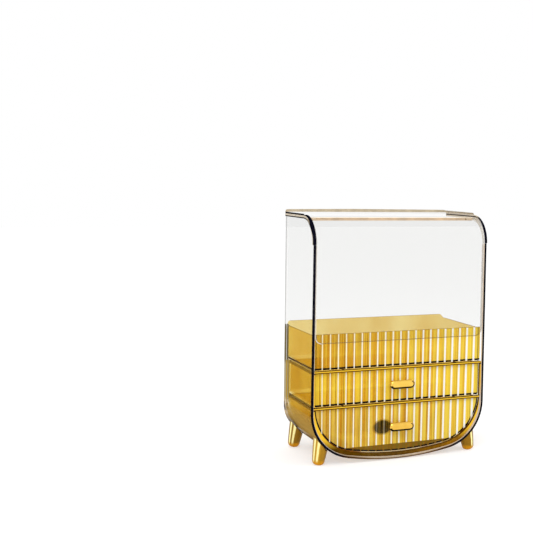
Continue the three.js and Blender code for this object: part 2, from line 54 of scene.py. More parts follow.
# Sizes of the case, in metres
MM = 0.001
HALF_WIDTH = 132 * MM
HANDLE_REACH = 8 * MM
RIM_Y = cad_low.y + HANDLE_REACH
FLOOR_GAP = 1.4 * MM
BOTTOM_RADIUS = 420 * MM
CORNER_RADIUS = 66 * MM
SIDE_LEAN = math.tan(math.radians(0.59))
LEAN_START = 73.6 * MM
SIDE_WALLS = 122 * MM  # only the side walls lie further out than this
SHOULDER_RADIUS = 38 * MM
SHOULDER_Y = RIM_Y + SHOULDER_RADIUS
SHOULDER_Z = 339.5 * MM - SHOULDER_RADIUS
SKIRT_HEIGHT = 5 * MM
ROOF_THICKNESS = 3 * MM
ARM_SIDE = HALF_WIDTH - 4.2 * MM
BEND_START = cad_high.y - 17 * MM
DOOR_EDGE_Y = -27.5 * MM
DOOR_EDGE_Z = 331.8 * MM
DOOR_FLAT = (180 * MM, 300 * MM)
DOOR_LEFT = -116 * MM

# Sizes of the amber and gold pieces
FLUTE_PITCH = 11.6 * MM
FLUTE_FRONT = 6.4 * MM
DRAWER_INSET = 5.6 * MM
LOWER_DRAWER_INSET = 9.8 * MM
SHELF_UNDERSIDES = (78.5 * MM, 128.8 * MM)
SHELF_TOPS = (81.2 * MM, 131.5 * MM)
SHELF_ENDS = 124.5 * MM
TRAY_BOTTOM = 132.7 * MM
TRAY_FRONT_BOTTOM = 133.1 * MM
UPPER_FRONT_BOTTOM = 82.8 * MM
SHEET_AREA = 1000 * MM ** 2
HANDLE_SHADE_X = 13.5 * MM

# Places of the painted lines, highlights, reflections and shade, in the plastic and on the feet
RIM_STRIP = RIM_Y + 2.6 * MM  # end of the narrow strip behind the rim
# widths of the painted dark reflection line along the rim's outer side
RIM_LINE_LEFT = 3.0 * MM
RIM_LINE_RIGHT = 3.4 * MM
RIM_LINE_LOW = 1.6 * MM
RIM_DARK_FROM = 16 * MM  # height from which that strip is dark outside
LOW_BEND_TOP = 72 * MM  # height where the low corners turn upright
AMBER_TOP = 180 * MM  # height up to which the corners stand beside amber
OLIVE_TOP = 128 * MM  # height up to which they are the paler olive
STRIP_STEP = 131 * MM  # height where the strip beside the left corner turns narrow
STRIP_TOP = 182 * MM
STRIP_WIDE = 11 * MM
STRIP_NARROW = 5.5 * MM
FRAME_STRIP = RIM_Y + 6 * MM
LILAC_BAND = (32 * MM, 88 * MM)  # heights
TRAY_SIDE_LINE = 1.3 * MM
# widths of the painted gap shade round the fronts
FRONT_GAP = 2.3 * MM
LEVEL_GAP = 2.7 * MM
# height of the painted shade in the low wedge of the lower drawer front
WEDGE_TOP = 21.5 * MM
# middle and half sizes of the painted shadow left of the lower handle
HANDLE_SHADOW_CENTRE = (-24.2 * MM, 46.8 * MM)
HANDLE_SHADOW_REACH = (17 * MM, 12.5 * MM)
# place of the painted white highlight across each flute bar
HIGHLIGHT_PLACE = 0.615  # across a bar, from 0 to 1
BARS_BEFORE = 100.5  # whole bars that keep the count above 0, and the half bar left of the middle
FOOT_TURN = 0.363  # where the bands round a foot start, in half turns
WHOLE_TURNS = 10.0  # keeps the turn above 0
FOOT_TIP = 6.5 * MM

# Painted highlight and shade bands of the flutes and the feet, each stop a place from 0 to 1 and a strength
FLUTE_SHADE_LINES = ((0.25, 0), (0.28, 1), (0.34, 1), (0.38, 0), (0.44, 0), (0.48, 0.8), (0.51, 0.8), (0.53, 0))
FOOT_THIN_HIGHLIGHT = ((0.19, 0), (0.22, 1), (0.28, 1), (0.31, 0))
FOOT_WIDE_HIGHLIGHT = ((0.37, 0), (0.40, 0.9), (0.47, 0.9), (0.50, 0))
FOOT_DARK_REFLECTION = ((0.0, 0.8), (0.14, 0.5), (0.20, 0), (0.32, 0.5), (0.36, 0), (0.50, 0), (0.56, 0.6), (1.0, 0.75))

# Making of the pieces
WELD = 0.01 * MM
FLAT_ANGLE = math.radians(0.6)
PLAIN_ANGLE = math.radians(35)
AMBER_ANGLE = math.radians(45)
SHELL_ROUNDING = 0.4 * MM
COVER_ROUNDING = 0.5 * MM
AMBER_ROUNDING = 0.35 * MM
HANDLE_ROUNDING = 0.25 * MM
FOOT_ROUNDING = 0.3 * MM
PLASTIC_IOR = 1.49

# Camera, for a picture of 533 pixels a side
PICTURE_SIZE = 533
SENSOR_WIDTH = 36
FOCAL_PIXELS = 1008.589
CENTRE_X = 389.940
CENTRE_Y = 334.584
YAW = math.radians(24.7064)
PITCH = math.radians(8.9381)
ROLL = math.radians(-1.1101)
CAMERA_OFFSET = Vector((-0.1076707, 0.1803732, 1.3652387))

# Colours of the amber plastic, and of the highlights and shade painted on it
AMBER_TINT = (0.915, 0.79, 0.46)
YELLOW_TINT = (0.955, 0.88, 0.60)
FRAME_TINT = (0.985, 0.965, 0.84)
FRONT_TINT = (0.98, 0.86, 0.26)
FRONT_TINT_DEEP = (0.93, 0.70, 0.13)
FLOOR_TINT = (0.985, 0.95, 0.80)
OLIVE_TINT = (0.93, 0.83, 0.52)
AMBER_BODY = (0.66, 0.29, 0.006)
YELLOW_BODY = (1.0, 0.68, 0.05)
BRIGHT_BODY = (1.0, 0.77, 0.09)
MILKY_BODY = (0.88, 0.58, 0.10)
TRAY_LEFT = (0.50, 0.20, 0.003)
ORANGE_LEFT = (0.62, 0.26, 0.004)
ORANGE_RIGHT = (0.93, 0.50, 0.03)
LOW_CORNER_SHADE = (0.46, 0.29, 0.06)
WEDGE_SHADE = (0.14, 0.09, 0.008)
LILAC = (0.62, 0.57, 0.60)
UNDER_DARK = (0.02, 0.010, 0.001)
UNDER_BROWN = (0.13, 0.058, 0.002)
SHADE_BROWN = (0.022, 0.013, 0.002)
SEAT_SHADE = (0.07, 0.024, 0.002)
SIDE_BROWN = (0.33, 0.18, 0.025)
BROWN_LINE = (0.12, 0.04, 0.002)
AMBER_LINE = (0.20, 0.07, 0.003)
# painted shade in the gaps round the fronts and along the shelf tops
GAP_SHADE_DARK = (0.008, 0.003, 0.001)
# painted highlights of the flute bars, white on the right and warmer on the left
FLUTE_HIGHLIGHT = (1.0, 1.0, 0.98)
WARM_FLUTE_HIGHLIGHT = (1.0, 0.95, 0.72)

# Colours of the clear plastic: its tints, then the reflections, highlights and shade painted along its edges
# and bends
CLEAR_TINT = (0.962, 0.963, 0.961)
COVER_TINT = (0.998, 0.998, 0.997)
CLEAR_SLANT = (0.20, 0.19, 0.165)
DARK_REFLECTION = (0.13, 0.13, 0.12)
BEIGE = (0.58, 0.46, 0.31)
BEIGE_DEEP = (0.30, 0.18, 0.07)
CROWN_BEIGE = (0.64, 0.54, 0.38)
DOOR_BEIGE = (1.0, 0.84, 0.64)
WHITE_LINE = (0.98, 0.96, 0.92)
SAND = (0.68, 0.60, 0.48)
PALE = (0.86, 0.85, 0.82)
LOW_BEND_SHADE = (0.56, 0.345, 0.08)
OLIVE_LINE = (0.19, 0.15, 0.075)
OLIVE_BEIGE = (0.50, 0.42, 0.26)
SIDE_GOLD = (0.52, 0.32, 0.05)
UNDER_LINE = (0.11, 0.07, 0.03)
RIM_DARK = (0.004, 0.004, 0.010)
RIM_BROWN = (0.13, 0.055, 0.012)

# Colours of the metal, with the highlights and shade painted on the feet and handles
GOLD_PALE = (0.66, 0.38, 0.035)
GOLD_DEEP = (0.50, 0.26, 0.02)
# painted highlight and shade of the feet
GOLD_HIGHLIGHT = (1.0, 0.90, 0.40)
GOLD_SHADED = (0.24, 0.12, 0.012)
GOLD_TIP = (0.62, 0.27, 0.008)
PLATE_PALE = (0.84, 0.54, 0.10)
PLATE_DEEP = (0.76, 0.45, 0.07)
# painted shade on the handles
GOLD_DARK = (0.020, 0.013, 0.005)
GOLD_BLACK = (0.006, 0.004, 0.002)
STEEL_DARK = (0.50, 0.51, 0.53)
STEEL_PALE = (0.70, 0.71, 0.72)

# Studio
FLOOR_SIZE = 12
FLOOR_GREY = (0.6, 0.6, 0.6)
FLOOR_GLOW = 0.5
WORLD_LIGHT = 0.86
LIGHT_AIM = Vector((0, 0, 0.17))
CLEAR_LAYERS = 48


# Camera

def camera_axes():
    """The camera's right, down and forward directions."""
    across = math.cos(PITCH)
    forward = Vector((math.sin(YAW) * across, math.cos(YAW) * across, -math.sin(PITCH)))
    right = forward.cross(Vector((0, 0, 1))).normalized()
    down = forward.cross(right)
    cos_roll = math.cos(ROLL)
    sin_roll = math.sin(ROLL)
    return cos_roll * right + sin_roll * down, cos_roll * down - sin_roll * right, forward


def add_camera():
    right, down, forward = camera_axes()
    data = bpy.data.cameras.new("studio_camera")
    data.sensor_width = SENSOR_WIDTH
    data.lens = FOCAL_PIXELS / PICTURE_SIZE * SENSOR_WIDTH
    middle = PICTURE_SIZE / 2
    data.shift_x = (middle - CENTRE_X - 0.5) / PICTURE_SIZE
    data.shift_y = (CENTRE_Y + 0.5 - middle) / PICTURE_SIZE
    data.clip_start = 0.05
    data.clip_end = 30
    camera = bpy.data.objects.new("studio_camera", data)
    bpy.context.collection.objects.link(camera)
    turn = Matrix((right, -down, -forward)).transposed()
    stand = -(right * CAMERA_OFFSET.x + down * CAMERA_OFFSET.y + forward * CAMERA_OFFSET.z)
    stand += Vector((-HALF_WIDTH, RIM_Y, 0))
    camera.matrix_world = Matrix.Translation(stand) @ turn.to_4x4()
    bpy.context.scene.camera = camera


# Nodes of a material

def new_material(name):
    material = bpy.data.materials.new(name)
    material.use_nodes = True
    tree = material.node_tree
    return material, tree, tree.nodes["Principled BSDF"]


def node(tree, kind, **settings):
    made = tree.nodes.new(kind)
    for key, value in settings.items():
        setattr(made, key, value)
    return made


def feed(tree, socket, source):
    """Gives a socket a plain number or colour, or links it to another node's output."""
    if isinstance(source, bpy.types.NodeSocket):
        tree.links.new(source, socket)
    elif isinstance(source, tuple) and len(source) == 3:
        socket.default_value = (*source, 1)
    else:
        socket.default_value = source


def calc(tree, operation, *values):
    made = node(tree, "ShaderNodeMath", operation=operation)
    for socket, value in zip(made.inputs, values):
        feed(tree, socket, value)
    return made.outputs["Value"]


def minus(tree, first, second):
    return calc(tree, "SUBTRACT", first, second)


def times(tree, *factors):
    product = factors[0]
    for factor in factors[1:]:
        product = calc(tree, "MULTIPLY", product, factor)
    return product


def either(tree, *masks):
    """The largest of the values."""
    largest = masks[0]
    for mask in masks[1:]:
        largest = calc(tree, "MAXIMUM", largest, mask)
    return largest


def opposite(tree, mask):
    return minus(tree, 1.0, mask)


def over(tree, value, limit):
    """1 where a value is over the limit, 0 elsewhere, with a hard edge."""
    return calc(tree, "GREATER_THAN", value, limit)


def hypotenuse(tree, first, second):
    squares = calc(tree, "ADD", times(tree, first, first), times(tree, second, second))
    return calc(tree, "SQRT", squares)


def span(tree, source, low, high, start=0.0, end=1.0):
    """Carries a value from start..end over to low..high."""
    made = node(tree, "ShaderNodeMapRange")
    feed(tree, made.inputs["Value"], source)
    made.inputs["From Min"].default_value = start
    made.inputs["From Max"].default_value = end
    feed(tree, made.inputs["To Min"], low)
    feed(tree, made.inputs["To Max"], high)
    return made.outputs["Result"]


def rise(tree, value, start, end):
    """0 up to the start, 1 from the end on."""
    return span(tree, value, 0.0, 1.0, start, end)


def under(tree, value, limit, blur=0.15 * MM):
    """1 where a value is under the limit, 0 where it is over it."""
    return span(tree, value, 1.0, 0.0, limit - blur, limit + blur)


def between(tree, value, low, high, blur=0.15 * MM):
    return times(tree, under(tree, value, high, blur), opposite(tree, under(tree, value, low, blur)))


def mixed(tree, share, first, second):
    """The first colour where the share is 0, the second where it is 1."""
    made = node(tree, "ShaderNodeMix", data_type="RGBA")
    feed(tree, made.inputs[0], share)
    feed(tree, made.inputs[6], first)
    feed(tree, made.inputs[7], second)
    return made.outputs[2]


def ramp(tree, source, stops):
    made = node(tree, "ShaderNodeValToRGB")
    band = made.color_ramp
    for index, (position, strength) in enumerate(stops):
        stop = band.elements[index] if index < 2 else band.elements.new(position)
        stop.position = position
        stop.color = (strength, strength, strength, 1)
    feed(tree, made.inputs["Fac"], source)
    return made.outputs["Color"]


def parts(tree, vector):
    """The three parts of a vector."""
    made = node(tree, "ShaderNodeSeparateXYZ")
    tree.links.new(vector, made.inputs["Vector"])
    return made.outputs["X"], made.outputs["Y"], made.outputs["Z"]


def place(tree):
    """The point's own place on the piece."""
    return node(tree, "ShaderNodeTexCoord").outputs["Object"]


def facing(tree):
    """The three parts of the direction that the surface faces, on the piece's own axes."""
    return parts(tree, node(tree, "ShaderNodeTexCoord").outputs["Normal"])


def slant(tree, low, high):
    """0 up to the low slant and 1 from the high one; face on is slant 0, along the surface is 1."""
    made = node(tree, "ShaderNodeLayerWeight")
    made.inputs["Blend"].default_value = 0.5
    return rise(tree, made.outputs["Facing"], low, high)


# Patterns

def noise(tree, vector, scale, detail):
    made = node(tree, "ShaderNodeTexNoise")
    made.inputs["Scale"].default_value = scale
    made.inputs["Detail"].default_value = detail
    tree.links.new(vector, made.inputs["Vector"])
    return made.outputs["Fac"]


def cloud(tree, where, scale, upright=1.0):
    """Noise on the piece, drawn out upwards where upright is under 1."""
    lie = node(tree, "ShaderNodeMapping")
    tree.links.new(where, lie.inputs["Vector"])
    lie.inputs["Scale"].default_value = (1, 1, upright)
    return noise(tree, lie.outputs["Vector"], scale, 3.0)


def strips(tree, x, z, fineness, drift):
    """Upright strips of uneven width that change slowly along their height."""
    spot = node(tree, "ShaderNodeCombineXYZ")
    feed(tree, spot.inputs["X"], times(tree, x, fineness))
    feed(tree, spot.inputs["Z"], times(tree, z, drift))
    return noise(tree, spot.outputs["Vector"], 1, 0)


def patches(tree, grain):
    """A noise pattern with more contrast, from 0 to 1."""
    return rise(tree, grain, 0.35, 0.65)


def worn(tree, grain, smooth, rough):
    """A roughness that varies with a noise pattern."""
    return span(tree, grain, smooth, rough, 0.3, 0.7)


# Places on the case

def side_depth(tree, x, z, inset=0.0):
    """How far a point lies inside the case's leaning sides, or inside a wall set in from them."""
    height = calc(tree, "MAXIMUM", minus(tree, z, LEAN_START), 0.0)
    half = minus(tree, HALF_WIDTH - inset, times(tree, height, SIDE_LEAN))
    return minus(tree, half, calc(tree, "ABSOLUTE", x))


def outline_depth(tree, x, z, inset, bottom, radius):
    """How far a point seen from the front lies inside an outline like the case's."""
    centre_z = FLOOR_GAP + bottom + BOTTOM_RADIUS
    corner_x = HALF_WIDTH - inset - radius
    reach = BOTTOM_RADIUS - radius
    corner_z = centre_z - math.sqrt(reach ** 2 - corner_x ** 2)
    steepness = corner_x / (centre_z - corner_z)
    from_side = side_depth(tree, x, z, inset)
    from_bottom = minus(tree, BOTTOM_RADIUS, hypotenuse(tree, x, minus(tree, centre_z, z)))
    beyond = minus(tree, calc(tree, "ABSOLUTE", x), corner_x)
    below = minus(tree, corner_z, z)
    from_corner = minus(tree, radius, hypotenuse(tree, beyond, below))
    in_corner = times(tree, over(tree, below, 0.0), over(tree, beyond, times(tree, below, steepness)))
    return span(tree, in_corner, calc(tree, "MINIMUM", from_side, from_bottom), from_corner)


def outer_side(tree, x):
    """1 on the outer faces of the two sides, and 0 on their inner faces and between them."""
    outwards = over(tree, times(tree, facing(tree)[0], x), 0.0)
    return times(tree, outwards, over(tree, calc(tree, "ABSOLUTE", x), SIDE_WALLS))


# Clear plastic

def plastic_finish(tree, shader, colour, roughness, gloss):
    feed(tree, shader.inputs["Base Color"], colour)
    feed(tree, shader.inputs["Roughness"], roughness)
    shader.inputs["IOR"].default_value = PLASTIC_IOR
    shader.inputs["Specular IOR Level"].default_value = gloss


def let_through(tree, shader, tint, solid_share):
    """Puts a tinted see-through layer beside the shader, which keeps solid_share of the surface."""
    window = node(tree, "ShaderNodeBsdfTransparent")
    feed(tree, window.inputs["Color"], tint)
    both = node(tree, "ShaderNodeMixShader")
    feed(tree, both.inputs["Fac"], solid_share)
    tree.links.new(window.outputs["BSDF"], both.inputs[1])
    tree.links.new(shader.outputs["BSDF"], both.inputs[2])
    tree.links.new(both.outputs["Shader"], tree.nodes["Material Output"].inputs["Surface"])


def clear_plastic(name, tint, gloss, reflection_from):
    """Moulded clear plastic: hardly there face on, with a painted grey-beige reflection where it is seen edge
    on, along its bends.
    """
    material, tree, shader = new_material(name)
    haze = cloud(tree, place(tree), 30)
    plastic_finish(tree, shader, mixed(tree, haze, CLEAR_SLANT, BEIGE), worn(tree, haze, 0.03, 0.07), gloss)
    let_through(tree, shader, tint, span(tree, slant(tree, reflection_from, 1.0), 0.01, 0.8))
    return material


def clear_bend():
    """The shell's round corners, with a painted dark reflection towards their outlines, a painted reflection
    of the amber beside them and painted shade on the low corners; and the strip beside the left one.
    """
    material, tree, shader = new_material("clear_bend")
    where = place(tree)
    y, z = parts(tree, where)[1:]
    haze = cloud(tree, where, 30)
    low = under(tree, z, LOW_BEND_TOP, 4 * MM)
    upright_colour, upright_share = upright_bend(tree, haze, y, z)
    low_colour, low_share, low_edge = low_bend(tree, y)
    share = span(tree, low, upright_share, low_share)
    share = either(tree, share, times(tree, low, low_edge))
    colour = mixed(tree, low, upright_colour, low_colour)
    plastic_finish(tree, shader, colour, worn(tree, haze, 0.03, 0.07), 0.0)
    let_through(tree, shader, CLEAR_TINT, share)
    return material


def upright_bend(tree, haze, y, z):
    """The upright corners: a painted dark reflection above, and a painted olive and gold reflection of the
    amber pieces beside them.
    """
    beside_amber = under(tree, z, AMBER_TOP, 6 * MM)
    beside = mixed(tree, under(tree, z, OLIVE_TOP, 4 * MM), OLIVE_LINE, OLIVE_BEIGE)
    beside = mixed(tree, under(tree, y, BEND_START - STRIP_NARROW, 0.5 * MM), beside, SIDE_GOLD)
    colour = mixed(tree, beside_amber, mixed(tree, haze, DARK_REFLECTION, CLEAR_SLANT), beside)
    share = span(tree, slant(tree, 0.42, 0.58), 0.01, span(tree, beside_amber, 0.85, 1.0))
    backwards = calc(tree, "ABSOLUTE", facing(tree)[1])
    share = times(tree, share, span(tree, backwards, 1.0, 0.35, 0.45, 0.60))
    edge_on = slant(tree, 0.93, 0.99)
    return colour, either(tree, share, times(tree, edge_on, 0.8))


def low_bend(tree, y):
    """The lower corners: painted olive shade with a painted brown reflection along the outline."""
    behind = rise(tree, y, 10 * MM, 30 * MM)
    low_edge = slant(tree, 0.84, 0.93)
    outline = either(tree, low_edge, times(tree, behind, slant(tree, 0.78, 0.86)))
    colour = mixed(tree, outline, LOW_BEND_SHADE, mixed(tree, behind, BEIGE_DEEP, UNDER_LINE))
    return colour, span(tree, slant(tree, 0.62, 0.80), 0.02, 0.85), low_edge


def clear_line(name, colour, share):
    """An edge of the clear plastic with a painted line of light or shade, as if it gathers light or loses it.
    """
    material, tree, shader = new_material(name)
    streaks = cloud(tree, place(tree), 90, 0.25)
    dim = tuple(part * 0.82 for part in colour)
    colours = mixed(tree, patches(tree, streaks), dim, colour)
    plastic_finish(tree, shader, colours, worn(tree, streaks, 0.05, 0.12), 0.0)
    let_through(tree, shader, CLEAR_TINT, span(tree, slant(tree, 0.7, 1.0), share, 1.0))
    return material


def clear_rim():
    """The shell's front rim, painted: a dark reflection line along its outer side, a pale highlight within,
    and a brown line along the bottom.
    """
    material, tree, shader = new_material("clear_rim")
    where = place(tree)
    x, _, z = parts(tree, where)
    streaks = cloud(tree, where, 90, 0.25)
    low = under(tree, z, 9 * MM, 5 * MM)
    inner = mixed(tree, under(tree, x, 0), mixed(tree, streaks, BEIGE, PALE), PALE)
    inner = mixed(tree, under(tree, z, 22 * MM, 10 * MM), inner, mixed(tree, streaks, BEIGE_DEEP, BEIGE))
    width = span(tree, under(tree, x, 0, 40 * MM), RIM_LINE_RIGHT, RIM_LINE_LEFT)
    width = span(tree, low, width, RIM_LINE_LOW)
    depth = outline_depth(tree, x, z, 0, 0, CORNER_RADIUS)
    line = under(tree, minus(tree, depth, width), 0)
    colour = mixed(tree, line, inner, mixed(tree, low, RIM_DARK, RIM_BROWN))
    plastic_finish(tree, shader, colour, worn(tree, streaks, 0.05, 0.1), 0.0)
    let_through(tree, shader, CLEAR_TINT, span(tree, line, 0.7, 1.0))
    return material


def cover_skirt():
    """The cover's skirt and arms: a painted beige reflection band with painted dark reflection lines along
    it.
    """
    material, tree, shader = new_material("cover_skirt")
    where = place(tree)
    x, y, z = parts(tree, where)
    haze = cloud(tree, where, 60)
    ahead = minus(tree, SHOULDER_Y, y)
    along = rise(tree, ahead, 6 * MM, 30 * MM)
    line = skirt_lines(tree, x, z, ahead, along)
    colour = mixed(tree, line, mixed(tree, haze, CROWN_BEIGE, BEIGE), RIM_DARK)
    plastic_finish(tree, shader, colour, worn(tree, haze, 0.05, 0.1), 0.0)
    let_through(tree, shader, CLEAR_TINT, span(tree, line, span(tree, along, 0.8, 0.35), 1.0))
    return material


def skirt_lines(tree, x, z, ahead, along):
    """The skirt's painted dark reflection lines: low, middle, high, the solid front of the left arm, and the
    back end.
    """
    reach = shoulder_reach(tree, ahead, minus(tree, z, SHOULDER_Z))
    left = under(tree, x, 0)
    skirt_inside = SHOULDER_RADIUS - SKIRT_HEIGHT
    low_line = times(tree, under(tree, reach, skirt_inside + 1.5 * MM), left)
    low_line = times(tree, low_line, opposite(tree, along))
    middle_start = span(tree, along, SHOULDER_RADIUS - 2.8 * MM, SHOULDER_RADIUS - 1.2 * MM)
    middle_line = between(tree, minus(tree, reach, middle_start), 0, 1.5 * MM)
    middle_line = times(tree, middle_line, opposite(tree, left))
    high_line = under(tree, minus(tree, SHOULDER_RADIUS - 1 * MM, reach), 0)
    high_line = times(tree, high_line, either(tree, left, arm_outside(tree, x, z, ahead)))
    inner_end = span(tree, ahead, skirt_inside, SHOULDER_RADIUS - 1.6 * MM, 24 * MM, 37 * MM)
    solid = under(tree, minus(tree, inner_end, reach), 0)
    front = times(tree, left, solid, rise(tree, ahead, 15 * MM, 23 * MM))
    back_end = times(tree, slant(tree, 0.85, 0.95), under(tree, ahead, -50 * MM, 1 * MM))
    return either(tree, low_line, middle_line, high_line, front, back_end)


def shoulder_reach(tree, ahead, above):
    """How far a point of the skirt lies from the middle of the shoulder's bend."""
    on_bend = times(tree, over(tree, ahead, 0.0), over(tree, above, 0.0))
    return span(tree, on_bend, either(tree, ahead, above), hypotenuse(tree, ahead, above))


def arm_outside(tree, x, z, ahead):
    """The outermost strip of an arm, a little narrower towards its lower end."""
    from_side = side_depth(tree, x, z)
    strip = times(tree, under(tree, from_side, 2.8 * MM), rise(tree, ahead, 8 * MM, 16 * MM))
    proud = span(tree, z, 0.2 * MM, -1.2 * MM, SHOULDER_Z + 2 * MM, SHOULDER_Z + 24 * MM)
    return times(tree, strip, under(tree, minus(tree, proud, from_side), 0))


# Amber plastic

def amber_drift(tree, where):
    return patches(tree, cloud(tree, where, 14, 0.6))


def amber_finish(tree, shader, where, colour, share, tint=None, gloss=0.06):
    drift = amber_drift(tree, where)
    plastic_finish(tree, shader, colour, span(tree, drift, 0.05, 0.1), gloss)
    let_through(tree, shader, tint or mixed(tree, drift, AMBER_TINT, YELLOW_TINT), share)


def amber_plastic():
    """Clear amber plastic, deeper along its bends, with a painted shade line where the tray stands."""
    material, tree, shader = new_material("amber_plastic")
    where = place(tree)
    x, _, z = parts(tree, where)
    seat_shade = times(tree, between(tree, z, TRAY_BOTTOM - 0.5 * MM, TRAY_BOTTOM + 2.6 * MM), outer_side(tree, x))
    colour = mixed(tree, seat_shade, mixed(tree, amber_drift(tree, where), AMBER_BODY, YELLOW_BODY), SEAT_SHADE)
    share = either(tree, span(tree, slant(tree, 0.8, 1.0), 0.08, 0.7), seat_shade)
    amber_finish(tree, shader, where, colour, share, gloss=0.01)
    return material


def amber_floor():
    """The level sheets of amber plastic, seen almost along their surface."""
    material, tree, shader = new_material("amber_floor")
    where = place(tree)
    x = parts(tree, where)[0]
    drift = cloud(tree, where, 40)
    end = over(tree, calc(tree, "ABSOLUTE", x), SHELF_ENDS)
    colour = mixed(tree, end, mixed(tree, drift, YELLOW_BODY, AMBER_BODY), SIDE_BROWN)
    share = either(tree, span(tree, slant(tree, 0.8, 1.0), 0.06, 0.3), times(tree, end, 0.75))
    amber_finish(tree, shader, where, colour, share, FLOOR_TINT)
    return material


def shelf_bands(tree, z, heights, below, above, blur=0.15 * MM):
    """A level band at each of the heights."""
    return either(tree, *(between(tree, z, height - below, height + above, blur) for height in heights))


def amber_frame():
    """The inner frame: amber with painted olive shade round the lower corners, brown lines where the shelves
    join it, and a painted shade line where the tray stands.
    """
    material, tree, shader = new_material("amber_frame")
    where = place(tree)
    x, _, z = parts(tree, where)
    low = span(tree, z, 1.0, 0.0, 20 * MM, 70 * MM)
    side = outer_side(tree, x)
    line = times(tree, shelf_bands(tree, z, SHELF_TOPS[:1], 0.8 * MM, 1.4 * MM), side)
    sheets = times(tree, shelf_bands(tree, z, SHELF_UNDERSIDES, 2 * MM, 2.8 * MM), side)
    plain = mixed(tree, amber_drift(tree, where), AMBER_BODY, YELLOW_BODY)
    colour = mixed(tree, times(tree, low, 0.8), plain, LOW_CORNER_SHADE)
    colour = mixed(tree, sheets, colour, SIDE_BROWN)
    colour = mixed(tree, line, colour, SEAT_SHADE)
    share = either(tree, span(tree, slant(tree, 0.8, 1.0), span(tree, low, 0.04, 0.3), 0.8),
                   times(tree, line, 0.75), times(tree, sheets, 0.75))
    amber_finish(tree, shader, where, colour, share, mixed(tree, low, FRAME_TINT, OLIVE_TINT), 0.0)
    return material


def amber_front_edge():
    """The frame's front edges: bright, with a brown line under each shelf, painted gap shade on each shelf
    top, painted shade along the bottom and a painted pale highlight on the right.
    """
    material, tree, shader = new_material("amber_front_edge")
    where = place(tree)
    x, _, z = parts(tree, where)
    grain = cloud(tree, where, 200, 0.3)
    # painted shade along the bottom of the edges, darker on the left
    shaded = mixed(tree, grain, UNDER_DARK, UNDER_BROWN)
    golden = mixed(tree, grain, UNDER_BROWN, ORANGE_LEFT)
    bottom = mixed(tree, span(tree, x, 0.1, 0.75, 0.0, 100 * MM), shaded, golden)
    colour = mixed(tree, grain, ORANGE_RIGHT, YELLOW_BODY)
    colour = mixed(tree, under(tree, z, 30 * MM, 8 * MM), colour, bottom)
    colour = mixed(tree, shelf_bands(tree, z, SHELF_UNDERSIDES, 1 * MM, 1.3 * MM), colour, BROWN_LINE)
    colour = mixed(tree, shelf_bands(tree, z, SHELF_TOPS, 0, 2 * MM, 0.3 * MM), colour, GAP_SHADE_DARK)
    colour = mixed(tree, beside_rim(tree, x, z), colour, LILAC)
    amber_finish(tree, shader, where, colour, 0.97, AMBER_TINT, 0.0)
    return material


def beside_rim(tree, x, z):
    """The painted pale highlight on the frame's right edge, close to the shell's rim."""
    depth = outline_depth(tree, x, z, 0, 0, CORNER_RADIUS)
    right = times(tree, under(tree, depth, 5.0 * MM), over(tree, x, 0.0))
    return times(tree, right, between(tree, z, *LILAC_BAND, 10 * MM))


def amber_grain(name, first, second, share, upright=1.0):
    """Amber plastic that is seen through its length, or shaded, in two mixed colours."""
    material, tree, shader = new_material(name)
    where = place(tree)
    grain = cloud(tree, where, 220, upright)
    amber_finish(tree, shader, where, mixed(tree, grain, first, second), share, AMBER_TINT, 0.0)
    return material


# Fluted fronts

def fluted_front(name, outline, left, right, bottom=None, side_line=0.0, shaded=False):
    """Amber plastic in convex bars, each with a painted white highlight and two painted brown shade lines."""
    material, tree, shader = new_material(name)
    where = place(tree)
    x, _, z = parts(tree, where)
    across = rise(tree, x, -HALF_WIDTH, HALF_WIDTH)
    # upright strips painted in for the bright and dark bands that refraction makes in the bars
    bands = rise(tree, strips(tree, x, z, 260, 4), 0.43, 0.57)
    fine = rise(tree, strips(tree, x, z, 620, 6), 0.44, 0.56)
    highlight, painted_dark_band = flute_highlight_and_shade(tree, x, across)
    look = (*flute_colour(tree, across, mixed(tree, across, left, right), bands, fine, painted_dark_band), highlight)
    # the lower drawer front gets the painted handle shadow and painted shade in its low wedge
    if shaded:
        look = painted_handle_shadow(tree, x, z, fine, *look)
        look = painted_wedge_shade(tree, z, fine, *look)
    colour, share, light = look
    # paints the gap shade round the front, broken where the highlights cross it
    gap_shade = front_gap_shade(tree, x, z, outline, bottom, side_line)
    dashed_gap_shade = times(tree, gap_shade, opposite(tree, times(tree, highlight, 0.95)))
    # paints the white flute highlights over the bars
    colour = mixed(tree, light, colour, mixed(tree, across, WARM_FLUTE_HIGHLIGHT, FLUTE_HIGHLIGHT))
    colour = mixed(tree, dashed_gap_shade, colour, GAP_SHADE_DARK)
    tint = mixed(tree, bands, FRONT_TINT, FRONT_TINT_DEEP)
    amber_finish(tree, shader, where, colour, either(tree, share, gap_shade, light), tint)
    return material


def flute_highlight_and_shade(tree, x, across):
    """The painted white highlight of each bar, and its two painted brown shade lines."""
    bar = calc(tree, "FRACT", calc(tree, "ADD", calc(tree, "DIVIDE", x, FLUTE_PITCH), BARS_BEFORE))
    off_highlight = calc(tree, "ABSOLUTE", minus(tree, bar, HIGHLIGHT_PLACE))
    highlight = under(tree, minus(tree, off_highlight, span(tree, across, 0.055, 0.125)), 0, 0.015)
    # painted brown shade lines on the flanks of each bar
    painted_dark_band = times(tree, ramp(tree, bar, FLUTE_SHADE_LINES), span(tree, across, 1.0, 0.55))
    return highlight, painted_dark_band


